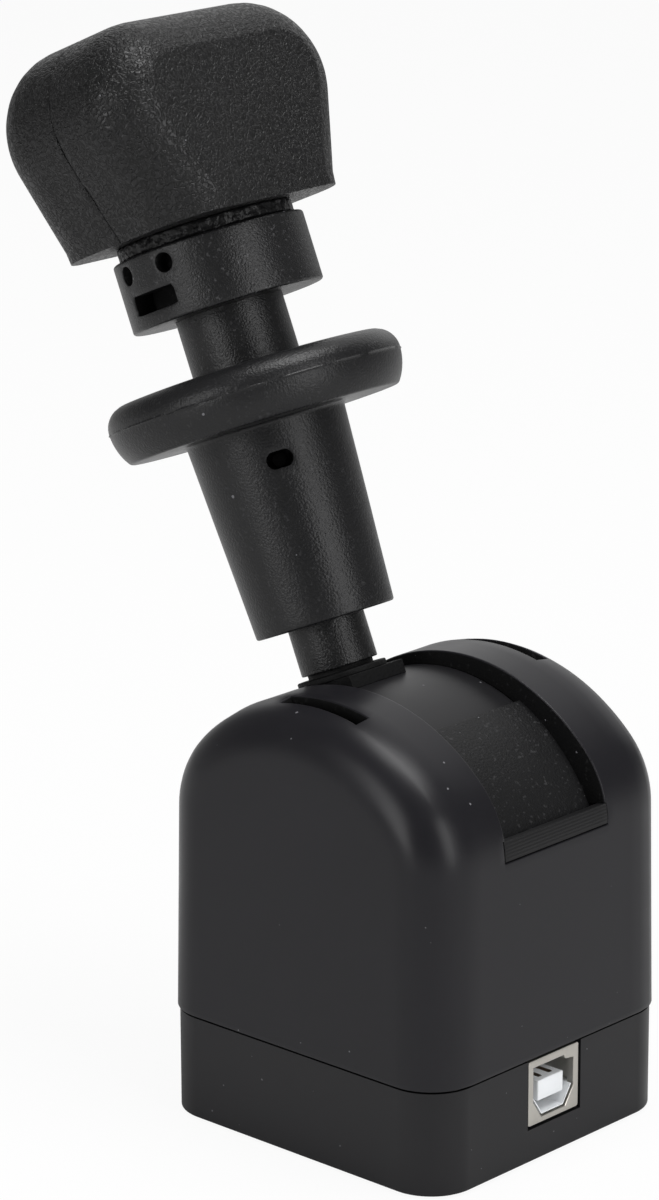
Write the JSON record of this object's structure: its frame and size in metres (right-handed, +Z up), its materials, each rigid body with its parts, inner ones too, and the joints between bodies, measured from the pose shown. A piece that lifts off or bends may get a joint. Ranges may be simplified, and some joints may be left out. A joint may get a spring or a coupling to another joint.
{
  "type": "sim racing handbrake",
  "caption": "Small table-top box with a rounded top and a slotted channel, from which a leaning lever with a lift ring and a flared knob swings against a return spring.",
  "frame": {"origin": "middle of the underside, on the face of the rubber pad that stands on the table", "axes": "+Z up, +Y towards the side with the cable socket, so the lever leans towards -Y at rest, +X completes a right-handed frame and is the lever's hinge line"},
  "size_m": [0.0572, 0.0991, 0.1713],
  "materials": {
    "tray_plastic": "satin moulded black",
    "housing_plastic": "satin moulded black, smooth",
    "cover_plastic": "coarse matt black",
    "shutter_plastic": "satin black",
    "lever_plastic": "fine sand texture, black",
    "ring_plastic": "satin black, smoother on the rim",
    "knob_plastic": "leather-grained black",
    "seat_rubber": "rough dark rubber",
    "pad_rubber": "matt rubber sheet",
    "white_plastic": "smooth white",
    "nickel": "nickel plated",
    "brass": "turned brass",
    "zinc_steel": "zinc-plated steel",
    "spring_steel": "oiled spring steel",
    "black_screw_steel": "blackened steel",
    "rotor_aluminium": "die-cast, lightly machined",
    "board_green": "solder mask",
    "chip_black": "moulded chip black"
  },
  "bodies": {
    "base": {"base_tray": "tray_plastic", "base_pad": "pad_rubber", "mount_inserts": "brass", "housing": "housing_plastic", "rear_end_strip": "housing_plastic", "rear_slot_cover": "cover_plastic", "front_slot_cover": "cover_plastic", "case_screws": "black_screw_steel", "pivot_frame": "zinc_steel", "frame_screws": "zinc_steel", "pivot_bushes": "white_plastic", "lock_gates": "zinc_steel", "return_springs": "spring_steel", "main_board": "board_green", "board_screws": "zinc_steel", "board_parts": "chip_black", "usb_shell": "nickel", "usb_insulator": "white_plastic", "usb_contacts": "brass", "sensor_board": "board_green", "sensor_header": "chip_black", "sensor_chip": "chip_black"},
    "lever": {"pivot_axle": "zinc_steel", "axle_clips": "spring_steel", "sensor_magnet": "nickel", "rotor": "rotor_aluminium", "lever_shutter": "shutter_plastic", "shutter_pad": "lever_plastic", "stem_flange": "lever_plastic", "stem_tube": "lever_plastic", "neck_tube": "lever_plastic", "collar": "lever_plastic", "collar_screws": "black_screw_steel", "knob_seat": "seat_rubber", "knob_front_shell": "knob_plastic", "knob_rear_shell": "knob_plastic", "lock_spring": "spring_steel"},
    "lift_ring": {"release_ring": "ring_plastic", "ring_pin": "zinc_steel", "lock_rod": "zinc_steel", "gate_pin": "zinc_steel"},
    "tail_plate": {"tail_shutter": "shutter_plastic"}
  },
  "joints": [
    {"name": "lever_swing", "type": "hinge", "parent": "base", "child": "lever", "pos_m": [0, -0.0026, 0.0393], "axis": [-1, 0, 0], "range_deg": [0, 34], "stiffness_Nm_per_rad": 0.9, "springref_deg": -20.05},
    {"name": "ring_lift", "type": "slide", "parent": "lever", "child": "lift_ring", "axis": [0, -0.3971, 0.9178], "range_m": [0, 0.006], "stiffness_N_per_m": 600, "springref_m": -0.006, "deforming": ["lock_spring"]},
    {"name": "tail_swing", "type": "hinge", "parent": "base", "child": "tail_plate", "pos_m": [0, -0.0026, 0.0393], "axis": [-1, 0, 0], "range_deg": [0, 18.7]}
  ],
  "couplings": [
    {"joint": "tail_swing", "follows": "lever_swing", "ratio": 0.55}
  ]
}
